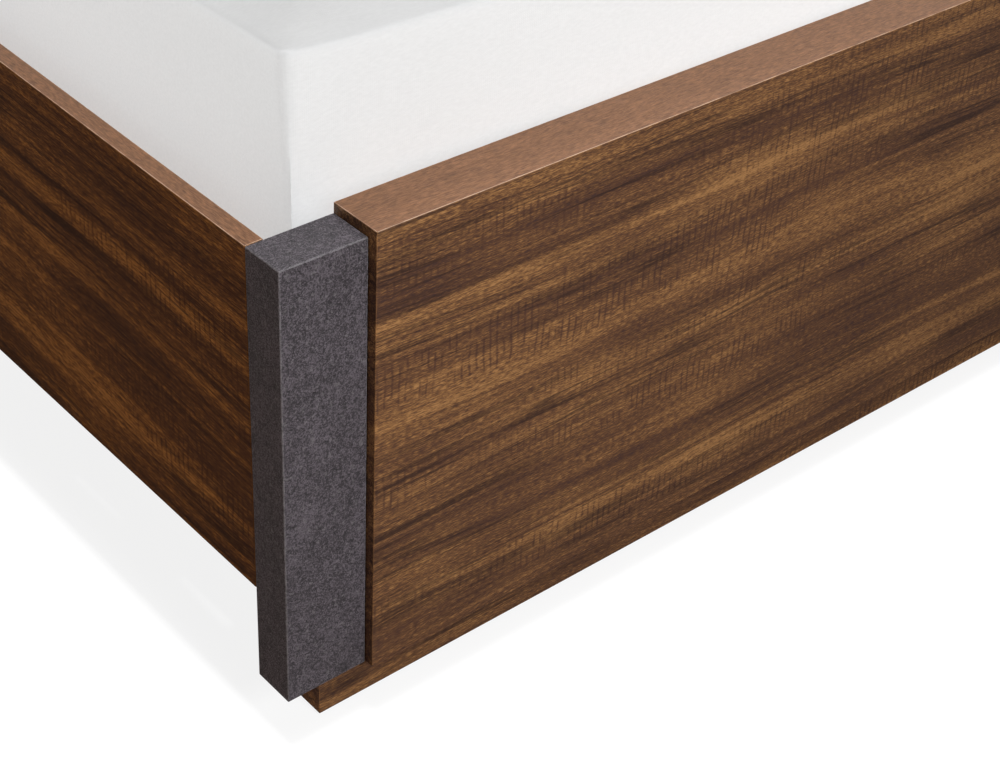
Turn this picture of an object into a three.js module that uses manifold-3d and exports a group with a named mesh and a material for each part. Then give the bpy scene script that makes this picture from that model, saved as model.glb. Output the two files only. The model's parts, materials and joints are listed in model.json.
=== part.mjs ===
// A queen-size platform bed with two storage drawers, in millimetres.
// +X is to the bed's right seen from the foot, +Y runs from the foot to the head, +Z is up.
// The origin is on the floor, under the middle of the bed.
//
// Slate-look corner posts stand on walnut plinths. A thick footboard panel and a headboard panel hang
// between the posts, a little proud of them. Thin side rails run between the posts, well clear of the
// floor, and each rail has a notch in its lower edge that one wide drawer fills.

import * as THREE from "three";
import { mergeVertices } from "three/addons/utils/BufferGeometryUtils.js";
import Module from "manifold-3d";

const wasm = await Module();
wasm.setup();

// ---- Driving dimensions -------------------------------------------------------------------------

const GAP = 0.3; // between pieces that touch
const BED_WIDTH = 1620;
const BED_LENGTH = 2160;

// Corner posts and plinths
const POST_WIDTH = 90;
const POST_DEPTH = 48;
const POST_HEIGHT = 480;
const GLIDE_HEIGHT = 3;
const GLIDE_RADIUS = 12;
const GLIDE_CHAMFER = 1;
const PLINTH_HEIGHT = 49;
const PLINTH_SETBACK = 10; // behind the post's outer face
const PLINTH_INSET = 43; // from the post's side face to the plinth's end

// Footboard and headboard panels
const PANEL_THICKNESS = 60;
const PANEL_PROUD = 10; // ahead of the posts' faces
const PANEL_RISE = 9; // above the posts' tops
const PANEL_REVEAL = 1; // between a panel's end and a post
const HEADBOARD_TOP = 1130;
const GROOVE_WIDTH = 6;
const GROOVE_DEPTH = 6;
const GROOVE_COUNT = 2;

// Side rails
const RAIL_THICKNESS = 19;
const RAIL_HEIGHT = 370;

// Mattress and its support
const MATTRESS_WIDTH = 1530;
const MATTRESS_LENGTH = 2030;
const MATTRESS_HEIGHT = 250;
const MATTRESS_TOP = 690;
const MATTRESS_CORNER = 24;
const MATTRESS_EDGE = 10;
const MATTRESS_FOOT_GAP = 4; // between the footboard panel and the mattress
const SLAT_COUNT = 10;
const SLAT_WIDTH = 120;
const SLAT_THICKNESS = 18;
const SLAT_END_GAP = 2; // between a slat's end and the rail
const LEDGE_WIDTH = 28;
const LEDGE_HEIGHT = 40;
const BEAM_WIDTH = 40;
const BEAM_HEIGHT = 90;
const LEG_SIZE = 50;
const LEG_SPACING = 700;
const PAD_HEIGHT = 8;
const PAD_CHAMFER = 3;

// Steelwork
const STEEL = 3; // sheet thickness
const HANGER_REACH = 45;
const BRACKET_LEG = 60;
const BRACKET_HEIGHT = 180;
const SCREW_RADIUS = 6;
const SCREW_HEAD = 2.5;

// Drawers
const DRAWER_OPENING = 920; // along the rail
const DRAWER_REVEAL = 3;
const NOTCH_HEIGHT = 223; // from the rail's lower edge
const PULL_HEIGHT = 16; // finger pull cut in the back of the front's lower edge
const PULL_DEPTH = 9;
const BOX_DEPTH = 600;
const BOX_HEIGHT = 150;
const BOX_LIFT = 25; // the box's underside above the rail's lower edge
const BOX_WALL = 15;
const BOTTOM_THICKNESS = 6;
const BOTTOM_LIFT = 10; // the bottom panel above the box's underside
const BOTTOM_TONGUE = 6; // how deep the bottom panel sits in each side's groove
const PARTITION_THICKNESS = 18;
const PARTITION_LIFT = 8; // above the rail's lower edge
const CHANNEL_DEPTH = 12;
const CHANNEL_HEIGHT = 45;
const CHANNEL_WALL = 1.5;
const CHANNEL_LENGTH = 560;
const CHANNEL_LIFT = 40; // above the box's underside
const CHANNEL_SETBACK = 4; // behind the rail's inner face
const RUNNER_PLAY = 0.5; // above and below each runner
const RUNNER_BACK_PLAY = 1; // between a runner and its channel's web

// ---- Levels and places worked out from them -----------------------------------------------------

const HALF_WIDTH = BED_WIDTH / 2;
const PLINTH_TOP = GLIDE_HEIGHT + PLINTH_HEIGHT;
const POST_BOTTOM = PLINTH_TOP + GAP;
const POST_TOP = POST_BOTTOM + POST_HEIGHT;
const RAIL_BOTTOM = POST_TOP - RAIL_HEIGHT;
const RAIL_INSIDE = HALF_WIDTH - RAIL_THICKNESS;
const FOOT_FACE = -BED_LENGTH / 2; // outer face of the footboard panel
const FOOT_POST_FACE = FOOT_FACE + PANEL_PROUD;
const FOOT_POST_BACK = FOOT_POST_FACE + POST_DEPTH;
const FOOT_PANEL_BACK = FOOT_FACE + PANEL_THICKNESS;
const HEAD_BACK = BED_LENGTH / 2; // back of the headboard panel
const HEAD_PANEL_FACE = HEAD_BACK - PANEL_THICKNESS;
const HEAD_POST_FACE = HEAD_PANEL_FACE + PANEL_PROUD;
const PANEL_HALF = HALF_WIDTH - POST_WIDTH - PANEL_REVEAL;
const MATTRESS_BOTTOM = MATTRESS_TOP - MATTRESS_HEIGHT;
const SLAT_TOP = MATTRESS_BOTTOM - GAP;
const LEDGE_TOP = SLAT_TOP - SLAT_THICKNESS - GAP;
const LEDGE_BOTTOM = LEDGE_TOP - LEDGE_HEIGHT;
const BEAM_BOTTOM = LEDGE_TOP - BEAM_HEIGHT;
const RAIL_FOOT = FOOT_POST_BACK + GAP;
const RAIL_HEAD = HEAD_POST_FACE - GAP;
const DRAWER_MIDDLE = (RAIL_FOOT + RAIL_HEAD) / 2;
const BOX_BOTTOM = RAIL_BOTTOM + BOX_LIFT;
const BOX_HALF = DRAWER_OPENING / 2 - GAP - CHANNEL_DEPTH - GAP; // half the drawer box's width
const CHANNEL_BOTTOM = BOX_BOTTOM + CHANNEL_LIFT;

// ---- Materials ----------------------------------------------------------------------------------

function finish(color, roughness, metalness) {
  return new THREE.MeshStandardMaterial({ color, roughness, metalness });
}

const walnut = finish(0x6b4326, 0.45, 0);
const slate = finish(0x57545a, 0.7, 0);
const plywood = finish(0xc9a877, 0.6, 0);
const steel = finish(0x9a9da1, 0.35, 1);
const plastic = finish(0x202022, 0.6, 0);
const ticking = finish(0xeeeeec, 0.9, 0);

// ---- Helpers ------------------------------------------------------------------------------------

const bed = new THREE.Group();

function add(name, geometry, material) {
  const mesh = new THREE.Mesh(geometry, material);
  mesh.name = name;
  bed.add(mesh);
  return mesh;
}

// A board between two opposite corners, which may be given in any order.
function board(name, material, a, b) {
  const size = a.map((v, i) => Math.abs(b[i] - v));
  const mesh = add(name, new THREE.BoxGeometry(...size), material);
  mesh.position.set(...a.map((v, i) => (v + b[i]) / 2));
  return mesh;
}

function outline(points) {
  return new THREE.Shape(points.map(([u, v]) => new THREE.Vector2(u, v)));
}

// An outline extruded by depth, with its own u, v and depth directions turned onto the given axes.
function extrude(shape, depth, u, v, w) {
  const geometry = new THREE.ExtrudeGeometry(shape, { depth, bevelEnabled: false, curveSegments: 8 });
  return geometry.applyMatrix4(new THREE.Matrix4().makeBasis(u, v, w));
}

const X = new THREE.Vector3(1, 0, 0);
const Y = new THREE.Vector3(0, 1, 0);
const Z = new THREE.Vector3(0, 0, 1);

function solid(geometry) {
  const bare = geometry.clone();
  bare.deleteAttribute("normal");
  bare.deleteAttribute("uv");
  const merged = mergeVertices(bare, 1e-4);
  return new wasm.Manifold(
    new wasm.Mesh({
      numProp: 3,
      vertProperties: new Float32Array(merged.attributes.position.array),
      triVerts: new Uint32Array(merged.index.array),
    }),
  );
}

function geometryOf(body) {
  const mesh = body.getMesh();
  const geometry = new THREE.BufferGeometry();
  geometry.setAttribute("position", new THREE.BufferAttribute(mesh.vertProperties, 3));
  geometry.setIndex(new THREE.BufferAttribute(mesh.triVerts, 1));
  geometry.computeVertexNormals();
  return geometry;
}

function block(a, b) {
  const size = a.map((v, i) => Math.abs(b[i] - v));
  const middle = a.map((v, i) => (v + b[i]) / 2);
  return new THREE.BoxGeometry(...size).translate(...middle);
}

// The four sides and ends that repeat: left is -1 and right is +1, foot is -1 and head is +1.
const SIDES = [
  ["left", -1],
  ["right", 1],
];
const ENDS = [
  ["foot", -1],
  ["head", 1],
];

// ---- Foot and head ends -------------------------------------------------------------------------

// The y of a point that lies a given distance inwards of the posts' outer faces. The head posts' inner
// faces are the ones that meet the rails, so their outer faces are their backs.
function inward(end, distance) {
  return end < 0 ? FOOT_POST_FACE + distance : HEAD_POST_FACE + POST_DEPTH - distance;
}

function posts() {
  for (const [endName, end] of ENDS) {
    const top = end < 0 ? POST_TOP : HEADBOARD_TOP - PANEL_RISE;
    for (const [sideName, side] of SIDES) {
      board(
        `${endName}_post_${sideName}`,
        slate,
        [side * HALF_WIDTH, inward(end, 0), POST_BOTTOM],
        [side * (HALF_WIDTH - POST_WIDTH), inward(end, POST_DEPTH), top],
      );
    }
  }
}

function footboardPanel() {
  board(
    "footboard_panel",
    walnut,
    [-PANEL_HALF, FOOT_FACE, POST_BOTTOM],
    [PANEL_HALF, FOOT_PANEL_BACK, POST_TOP + PANEL_RISE],
  );
}

// One board with shallow grooves across its face that divide it into equal bands above the mattress.
function headboardPanel() {
  let panel = solid(block([-PANEL_HALF, HEAD_PANEL_FACE, POST_BOTTOM], [PANEL_HALF, HEAD_BACK, HEADBOARD_TOP]));
  const lowest = POST_TOP + PANEL_RISE;
  const pitch = (HEADBOARD_TOP - lowest) / GROOVE_COUNT;
  for (let i = 0; i < GROOVE_COUNT; i++) {
    const z = lowest + i * pitch;
    const groove = block(
      [-PANEL_HALF - 1, HEAD_PANEL_FACE - 1, z - GROOVE_WIDTH / 2],
      [PANEL_HALF + 1, HEAD_PANEL_FACE + GROOVE_DEPTH, z + GROOVE_WIDTH / 2],
    );
    panel = panel.subtract(solid(groove));
  }
  add("headboard_panel", geometryOf(panel), walnut);
}

function plinths() {
  const end = HALF_WIDTH - PLINTH_INSET;
  for (const [endName, way] of ENDS) {
    board(
      `${endName}board_plinth`,
      walnut,
      [-end, inward(way, PLINTH_SETBACK), GLIDE_HEIGHT],
      [end, inward(way, POST_DEPTH), PLINTH_TOP],
    );
  }
}

// A round plastic foot that stands on the floor, with a chamfered lower rim.
function foot(name, radius, height, chamfer) {
  const profile = [
    [0, 0],
    [radius - chamfer, 0],
    [radius, chamfer],
    [radius, height],
    [0, height],
  ];
  const points = profile.map(([r, z]) => new THREE.Vector2(r, z));
  return add(name, new THREE.LatheGeometry(points, 24).rotateX(Math.PI / 2), plastic);
}

function glides() {
  const middle = (PLINTH_SETBACK + POST_DEPTH) / 2;
  for (const [endName, end] of ENDS) {
    for (const [sideName, side] of SIDES) {
      const glide = foot(`glide_${endName}_${sideName}`, GLIDE_RADIUS, GLIDE_HEIGHT - GAP, GLIDE_CHAMFER);
      glide.position.set(side * (HALF_WIDTH - POST_WIDTH), inward(end, middle), 0);
    }
  }
}

// ---- Rails and mattress support -----------------------------------------------------------------

// Each rail is one board with a notch in its lower edge for the drawer front.
function rails() {
  const notchFoot = DRAWER_MIDDLE - DRAWER_OPENING / 2;
  const notchHead = DRAWER_MIDDLE + DRAWER_OPENING / 2;
  const notchTop = RAIL_BOTTOM + NOTCH_HEIGHT;
  const shape = outline([
    [RAIL_FOOT, RAIL_BOTTOM],
    [notchFoot, RAIL_BOTTOM],
    [notchFoot, notchTop],
    [notchHead, notchTop],
    [notchHead, RAIL_BOTTOM],
    [RAIL_HEAD, RAIL_BOTTOM],
    [RAIL_HEAD, POST_TOP],
    [RAIL_FOOT, POST_TOP],
  ]);
  for (const [sideName, side] of SIDES) {
    const mesh = add(`side_rail_${sideName}`, extrude(shape, RAIL_THICKNESS, Y, Z, X), walnut);
    mesh.position.x = side < 0 ? -HALF_WIDTH : RAIL_INSIDE;
  }
}

function ledges() {
  for (const [sideName, side] of SIDES) {
    board(
      `slat_ledge_${sideName}`,
      plywood,
      [side * (RAIL_INSIDE - GAP), RAIL_FOOT + STEEL, LEDGE_BOTTOM],
      [side * (RAIL_INSIDE - GAP - LEDGE_WIDTH), RAIL_HEAD - PANEL_PROUD - STEEL, LEDGE_TOP],
    );
  }
}

// Steel angles that screw each rail to its post, with their screw heads.
function railBrackets() {
  const middle = RAIL_BOTTOM + RAIL_HEIGHT / 4;
  for (const [endName, end] of ENDS) {
    const face = end < 0 ? FOOT_POST_BACK + GAP : HEAD_POST_FACE - GAP;
    for (const [sideName, side] of SIDES) {
      const corner = side * (RAIL_INSIDE - GAP);
      const shape = outline([
        [corner, face],
        [corner - side * BRACKET_LEG, face],
        [corner - side * BRACKET_LEG, face - end * STEEL],
        [corner - side * STEEL, face - end * STEEL],
        [corner - side * STEEL, face - end * BRACKET_LEG],
        [corner, face - end * BRACKET_LEG],
      ]);
      let angle = solid(
        new THREE.ExtrudeGeometry(shape, { depth: BRACKET_HEIGHT, bevelEnabled: false }).translate(
          0,
          0,
          middle - BRACKET_HEIGHT / 2,
        ),
      );
      const along = (BRACKET_LEG + STEEL) / 2;
      for (const rise of [-1, 1]) {
        const z = middle + (rise * BRACKET_HEIGHT) / 3;
        const head = () => new THREE.CylinderGeometry(SCREW_RADIUS, SCREW_RADIUS, SCREW_HEAD * 2, 12);
        const onPost = head().translate(corner - side * along, face - end * STEEL, z);
        const onRail = head().rotateZ(Math.PI / 2).translate(corner - side * STEEL, face - end * along, z);
        angle = angle.add(solid(onPost)).add(solid(onRail));
      }
      add(`rail_bracket_${endName}_${sideName}`, geometryOf(angle), steel);
    }
  }
}

function slats() {
  const first = FOOT_PANEL_BACK + MATTRESS_FOOT_GAP;
  const last = HEAD_PANEL_FACE - MATTRESS_FOOT_GAP - SLAT_WIDTH;
  const end = RAIL_INSIDE - SLAT_END_GAP;
  for (let i = 0; i < SLAT_COUNT; i++) {
    const y = first + ((last - first) * i) / (SLAT_COUNT - 1);
    board(
      `slat_${String(i + 1).padStart(2, "0")}`,
      plywood,
      [-end, y, SLAT_TOP - SLAT_THICKNESS],
      [end, y + SLAT_WIDTH, SLAT_TOP],
    );
  }
}

function centreBeam() {
  const clear = 2 * GAP + STEEL;
  board(
    "centre_beam",
    plywood,
    [-BEAM_WIDTH / 2, FOOT_PANEL_BACK + clear, BEAM_BOTTOM],
    [BEAM_WIDTH / 2, HEAD_PANEL_FACE - clear, LEDGE_TOP],
  );
}

// A folded steel cradle on each panel that holds an end of the beam.
function beamHangers() {
  const inner = BEAM_WIDTH / 2 + GAP;
  const outer = inner + STEEL;
  const floor = BEAM_BOTTOM - GAP;
  const height = (BEAM_HEIGHT * 2) / 3;
  const section = outline([
    [-outer, floor - STEEL],
    [outer, floor - STEEL],
    [outer, floor + height],
    [inner, floor + height],
    [inner, floor],
    [-inner, floor],
    [-inner, floor + height],
    [-outer, floor + height],
  ]);
  for (const [endName, end] of ENDS) {
    const face = end < 0 ? FOOT_PANEL_BACK + GAP : HEAD_PANEL_FACE - GAP;
    const cradle = extrude(section, HANGER_REACH, X, Z, Y.clone().negate()).translate(
      0,
      end < 0 ? face + HANGER_REACH : face,
      0,
    );
    const plate = block([-outer, face, floor - STEEL], [outer, face - end * STEEL, floor + height]);
    add(`beam_hanger_${endName}`, geometryOf(solid(cradle).add(solid(plate))), steel);
  }
}

function centreLegs() {
  for (const [endName, end] of ENDS) {
    const y = (end * LEG_SPACING) / 2;
    board(
      `centre_leg_${endName}`,
      plywood,
      [-LEG_SIZE / 2, y - LEG_SIZE / 2, PAD_HEIGHT + GAP],
      [LEG_SIZE / 2, y + LEG_SIZE / 2, BEAM_BOTTOM - GAP],
    );
    const pad = foot(`leg_pad_${endName}`, LEG_SIZE / 2, PAD_HEIGHT, PAD_CHAMFER);
    pad.position.y = y;
  }
}

// The mattress is a plain rounded block: its sides are vertical and its upper and lower edges are eased.
function mattress() {
  const halfWidth = MATTRESS_WIDTH / 2 - MATTRESS_EDGE;
  const halfLength = MATTRESS_LENGTH / 2 - MATTRESS_EDGE;
  const radius = MATTRESS_CORNER - MATTRESS_EDGE;
  const shape = new THREE.Shape();
  shape.moveTo(-halfWidth + radius, -halfLength);
  shape.lineTo(halfWidth - radius, -halfLength);
  shape.absarc(halfWidth - radius, -halfLength + radius, radius, -Math.PI / 2, 0, false);
  shape.lineTo(halfWidth, halfLength - radius);
  shape.absarc(halfWidth - radius, halfLength - radius, radius, 0, Math.PI / 2, false);
  shape.lineTo(-halfWidth + radius, halfLength);
  shape.absarc(-halfWidth + radius, halfLength - radius, radius, Math.PI / 2, Math.PI, false);
  shape.lineTo(-halfWidth, -halfLength + radius);
  shape.absarc(-halfWidth + radius, -halfLength + radius, radius, Math.PI, Math.PI * 1.5, false);
  const geometry = new THREE.ExtrudeGeometry(shape, {
    depth: MATTRESS_HEIGHT - 2 * MATTRESS_EDGE,
    bevelSize: MATTRESS_EDGE,
    bevelThickness: MATTRESS_EDGE,
    bevelSegments: 3,
    curveSegments: 6,
  });
  const mesh = add("mattress", geometry, ticking);
  const foot = FOOT_PANEL_BACK + MATTRESS_FOOT_GAP;
  mesh.position.set(0, foot + MATTRESS_LENGTH / 2, MATTRESS_BOTTOM + MATTRESS_EDGE);
}

// ---- Drawers ------------------------------------------------------------------------------------

// Partitions hang between a rail and the centre beam, one at each end of a drawer opening, and carry
// the drawer's slides.
function partitions() {
  for (const [sideName, side] of SIDES) {
    for (const [endName, end] of ENDS) {
      const face = DRAWER_MIDDLE + (end * DRAWER_OPENING) / 2;
      board(
        `drawer_partition_${sideName}_${endName}`,
        plywood,
        [side * (RAIL_INSIDE - GAP), face, RAIL_BOTTOM + PARTITION_LIFT],
        [side * (BEAM_WIDTH / 2 + GAP), face + end * PARTITION_THICKNESS, LEDGE_BOTTOM - GAP],
      );
    }
  }
}

// A steel channel on each partition, open towards the drawer, and the runner on the drawer's side that
// rides in it.
function slides() {
  const top = CHANNEL_BOTTOM + CHANNEL_HEIGHT;
  for (const [sideName, side] of SIDES) {
    const mouth = side * (RAIL_INSIDE - CHANNEL_SETBACK);
    const rear = mouth - side * CHANNEL_LENGTH;
    for (const [endName, end] of ENDS) {
      const back = DRAWER_MIDDLE + end * (DRAWER_OPENING / 2 - GAP);
      const front = back - end * CHANNEL_DEPTH;
      const wall = back - end * CHANNEL_WALL;
      const section = outline([
        [back, CHANNEL_BOTTOM],
        [back, top],
        [front, top],
        [front, top - CHANNEL_WALL],
        [wall, top - CHANNEL_WALL],
        [wall, CHANNEL_BOTTOM + CHANNEL_WALL],
        [front, CHANNEL_BOTTOM + CHANNEL_WALL],
        [front, CHANNEL_BOTTOM],
      ]);
      const channel = extrude(section, CHANNEL_LENGTH, Y, Z, X).translate(Math.min(mouth, rear), 0, 0);
      add(`slide_channel_${sideName}_${endName}`, channel, steel);
      const play = CHANNEL_WALL + RUNNER_PLAY;
      board(
        `slide_runner_${sideName}_${endName}`,
        steel,
        [mouth, wall - end * RUNNER_BACK_PLAY, CHANNEL_BOTTOM + play],
        [rear, front, top - play],
      );
    }
  }
}

// The front fills the rail's notch flush with the rail, and its lower edge is cut away behind so that
// fingers can hook under it.
function drawerFronts() {
  const bottom = RAIL_BOTTOM;
  const top = RAIL_BOTTOM + NOTCH_HEIGHT - DRAWER_REVEAL;
  const length = DRAWER_OPENING - 2 * DRAWER_REVEAL;
  for (const [sideName, side] of SIDES) {
    const face = side * HALF_WIDTH;
    const back = side * RAIL_INSIDE;
    const section = outline([
      [face, bottom],
      [face, top],
      [back, top],
      [back, bottom + PULL_HEIGHT],
      [back + side * PULL_DEPTH, bottom + PULL_HEIGHT],
      [back + side * PULL_DEPTH, bottom],
    ]);
    const geometry = extrude(section, length, X, Z, Y.clone().negate());
    const mesh = add(`drawer_front_${sideName}`, geometry, walnut);
    mesh.position.y = DRAWER_MIDDLE + length / 2;
  }
}

// Two grooved sides, a back and a bottom panel that slides in the sides' grooves.
function drawerBoxes() {
  const bottomLow = BOX_BOTTOM + BOTTOM_LIFT;
  for (const [sideName, side] of SIDES) {
    const front = side * (RAIL_INSIDE - GAP);
    const rear = front - side * BOX_DEPTH;
    for (const [endName, end] of ENDS) {
      const outer = DRAWER_MIDDLE + end * BOX_HALF;
      const inner = outer - end * BOX_WALL;
      const wall = solid(block([front, outer, BOX_BOTTOM], [rear, inner, BOX_BOTTOM + BOX_HEIGHT]));
      const groove = solid(
        block(
          [front + side, inner - end, bottomLow - GAP],
          [rear - side, inner + end * (BOTTOM_TONGUE + GAP), bottomLow + BOTTOM_THICKNESS + GAP],
        ),
      );
      add(`drawer_side_${sideName}_${endName}`, geometryOf(wall.subtract(groove)), plywood);
    }
    const inside = BOX_HALF - BOX_WALL;
    board(
      `drawer_bottom_${sideName}`,
      plywood,
      [front - side * GAP, DRAWER_MIDDLE - inside - BOTTOM_TONGUE, bottomLow],
      [rear, DRAWER_MIDDLE + inside + BOTTOM_TONGUE, bottomLow + BOTTOM_THICKNESS],
    );
    board(
      `drawer_back_${sideName}`,
      plywood,
      [rear + side * BOX_WALL, DRAWER_MIDDLE - inside + GAP, bottomLow + BOTTOM_THICKNESS + GAP],
      [rear, DRAWER_MIDDLE + inside - GAP, BOX_BOTTOM + BOX_HEIGHT],
    );
  }
}

// ---- Assembly -----------------------------------------------------------------------------------

posts();
footboardPanel();
headboardPanel();
plinths();
glides();
rails();
ledges();
railBrackets();
slats();
centreBeam();
beamHangers();
centreLegs();
mattress();
partitions();
slides();
drawerFronts();
drawerBoxes();

export default bed;
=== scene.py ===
"""The looks of a platform bed with storage drawers, in metres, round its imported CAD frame.

The file is laid out as an add-on: settings, one operator for each group of pieces, one for the stage,
and a panel that lists them. Run as a script, it builds everything in order.
"""

import json
import math

import bmesh
import bpy
from mathutils import Matrix, Vector, noise

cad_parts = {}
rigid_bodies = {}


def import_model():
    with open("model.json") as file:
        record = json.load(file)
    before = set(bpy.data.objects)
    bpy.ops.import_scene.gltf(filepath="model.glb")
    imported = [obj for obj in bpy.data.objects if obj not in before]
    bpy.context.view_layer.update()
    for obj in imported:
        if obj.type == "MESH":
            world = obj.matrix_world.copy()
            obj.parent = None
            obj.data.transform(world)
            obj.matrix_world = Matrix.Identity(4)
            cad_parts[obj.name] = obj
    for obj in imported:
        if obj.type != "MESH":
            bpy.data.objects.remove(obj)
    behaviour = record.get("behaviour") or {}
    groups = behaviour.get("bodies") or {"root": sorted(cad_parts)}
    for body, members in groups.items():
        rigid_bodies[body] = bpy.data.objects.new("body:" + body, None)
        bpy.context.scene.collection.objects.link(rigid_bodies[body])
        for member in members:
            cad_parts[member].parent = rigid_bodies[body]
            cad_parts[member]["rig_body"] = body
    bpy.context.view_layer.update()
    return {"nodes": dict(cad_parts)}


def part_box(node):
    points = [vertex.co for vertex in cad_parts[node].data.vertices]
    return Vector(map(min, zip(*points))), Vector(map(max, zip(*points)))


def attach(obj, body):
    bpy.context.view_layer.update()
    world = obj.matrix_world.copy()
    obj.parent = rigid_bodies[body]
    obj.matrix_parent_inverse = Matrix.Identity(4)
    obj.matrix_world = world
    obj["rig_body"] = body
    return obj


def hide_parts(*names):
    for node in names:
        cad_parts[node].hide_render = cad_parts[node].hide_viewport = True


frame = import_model()

bl_info = {
    "name": "Platform bed with storage drawers",
    "version": (1, 0, 0),
    "blender": (4, 5, 0),
    "location": "View3D > Sidebar > Platform bed",
    "description": "Builds a walnut and slate platform bed with its mattress and drawers",
    "category": "Object",
}

MM = 0.001
X, Y, Z = 0, 1, 2
SIDES = ("left", "right")
ENDS = ("foot", "head")


# ---- Settings -----------------------------------------------------------------------------------


def length(name, description, default, top=1.0):
    return bpy.props.FloatProperty(
        name=name,
        description=description,
        default=default,
        min=0.0,
        max=top,
        unit="LENGTH",
        subtype="DISTANCE",
    )


def colour(name, description, default):
    return bpy.props.FloatVectorProperty(
        name=name, description=description, default=default, min=0.0, max=2.0, size=3, subtype="COLOR"
    )


def share(name, description, default, top=1.0):
    return bpy.props.FloatProperty(
        name=name, description=description, default=default, min=0.0, max=top, subtype="FACTOR"
    )


def power(name, description, default):
    return bpy.props.FloatProperty(name=name, description=description, default=default, min=0.0, unit="POWER")


def section(kind, name, description):
    return bpy.props.PointerProperty(type=kind, name=name, description=description)


def angle(name, description, degrees):
    return bpy.props.FloatProperty(
        name=name, description=description, default=math.radians(degrees), unit="ROTATION"
    )


class WalnutSettings(bpy.types.PropertyGroup):
    arris: length("Arris", "Rounding of the veneered boards' edges", 0.9 * MM)
    line: colour("Line", "Colour of the fine growth lines", (0.024, 0.012, 0.011))
    heart: colour("Heart", "Colour of the darkest bands", (0.055, 0.029, 0.026))
    dark: colour("Dark", "Colour of the dark wood between bands", (0.086, 0.039, 0.022))
    mid: colour("Middle", "Colour of most of the wood", (0.127, 0.060, 0.030))
    gold: colour("Gold", "Colour of the light bands", (0.250, 0.121, 0.047))
    pale: colour("Pale", "Colour of the lightest wood", (0.38, 0.195, 0.075))
    lipping: colour("Lipping", "Colour of the plainer strips along the boards' edges", (0.207, 0.099, 0.049))
    rail_tint: colour("Rail tint", "How the rails' veneer differs from the end panels'", (1.03, 0.87, 0.55))
    leaf: length("Leaf", "Widest veneer leaf, which is turned over to match its neighbour", 0.56)
    ripple: share("Ripple", "Strength of the ripple across the grain", 0.65)
    ripple_pitch: length("Ripple pitch", "Distance from one bar of the ripple to the next", 8 * MM)


class SlateSettings(bpy.types.PropertyGroup):
    arris: length("Arris", "Rounding of the posts' edges", 1.2 * MM)
    ground: colour("Ground", "Main colour of the slate finish", (0.067, 0.0570, 0.0670))
    fleck: colour("Fleck", "Colour of its light flecks", (0.17, 0.155, 0.165))


class BaseSettings(bpy.types.PropertyGroup):
    arris: length("Arris", "Rounding of the plywood's edges", 1.0 * MM)
    plywood: colour("Plywood", "Colour of the plywood's faces", (0.56, 0.39, 0.21))
    ply: length("Ply", "Thickness of one layer of plywood", 1.5 * MM)
    sheet_arris: length("Sheet arris", "Rounding of the sheet steel's edges", 0.4 * MM)
    bolt: length("Bolt", "Radius of the heads on the steel angles", 6.2 * MM)
    screw: length("Screw", "Radius of the other screws' heads", 3.5 * MM)
    zinc: colour("Zinc", "Colour of the zinc-plated steel", (0.60, 0.61, 0.63))
    plastic: colour("Plastic", "Colour of the glides and pads", (0.014, 0.014, 0.015))


class MattressSettings(bpy.types.PropertyGroup):
    cotton: colour("Cotton", "Colour of the cover", (0.80, 0.81, 0.82))
    corner: length("Corner", "Radius of the mattress's upright corners", 13 * MM)
    edge: length("Edge", "Radius along its upper and lower edges", 6 * MM)
    dip: length("Dip", "How far its upper edges drop between its corners", 13 * MM)
    # Painted shade: the cover's colour is darkened to this share where it turns over a rounded edge.
    stretch: share("Stretch", "Lightness of the cover where it is drawn over an edge", 0.74)
    slack: length("Slack", "How much smaller the form starts, before it is filled", 6 * MM)
    swell: length("Swell", "How far a point may move as the form is filled", 9 * MM)
    cell: length("Cell", "Spacing of the cloth's points", 30 * MM)
    pressure: bpy.props.FloatProperty(
        name="Pressure", description="Pressure that fills the form", default=4.0, min=0.0, max=20.0
    )


class StageSettings(bpy.types.PropertyGroup):
    floor: length("Floor", "Width of the floor", 60.0, 200.0)
    lens: bpy.props.FloatProperty(
        name="Lens", description="Focal length in millimetres", default=72.1, min=10
    )
    azimuth: angle("Azimuth", "Turn of the camera about the bed", -42.26)
    elevation: angle("Elevation", "Angle that the camera looks down at", 36.03)
    roll: angle("Roll", "Lean of the camera", 3.26)
    key: power("Key", "Power of the key light", 20.5)
    beam: angle("Beam", "How widely the key light spreads", 80)
    top: power("Top", "Power of the overhead light", 90.0)
    rim: power("Rim", "Power of the light behind", 300.0)
    low: power("Low", "Power of the warm light that comes up from the left", 1.5)
    side: power("Side", "Power of the light on the left side", 12.5)
    back: power("Back", "Power of the light behind the headboard", 120.0)
    overhead: bpy.props.FloatProperty(
        name="Overhead", description="Strength of the light straight down onto the floor", default=4.0, min=0
    )
    softness: angle("Softness", "How wide the light on the floor looks from there", 2)
    fill: share("Fill", "Brightness of the surroundings", 0.16, 10.0)
    bounce: colour("Bounce", "How the floor reflects light onto the bed", (0.26, 0.24, 0.22))
    warmth: colour("Warmth", "Tint of the surroundings", (1.0, 0.93, 0.86))
    glow: colour("Glow", "Tint of the low light", (1.0, 0.72, 0.56))
    cover_front: power("Cover front", "Power of the mattress's own front light", 202.0)
    cover_side: power("Cover side", "Power of the mattress's own side light", 155.0)
    cover_top: power("Cover top", "Power of the mattress's own overhead light", 42.0)


class BedSettings(bpy.types.PropertyGroup):
    walnut: section(WalnutSettings, "Walnut", "The veneered boards")
    slate: section(SlateSettings, "Slate", "The corner posts")
    base: section(BaseSettings, "Base", "The bed's inside and fittings")
    mattress: section(MattressSettings, "Mattress", "The mattress")
    stage: section(StageSettings, "Stage", "Floor, lights and camera")


def settings():
    return bpy.context.scene.platform_bed


# ---- Node helpers -------------------------------------------------------------------------------


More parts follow.
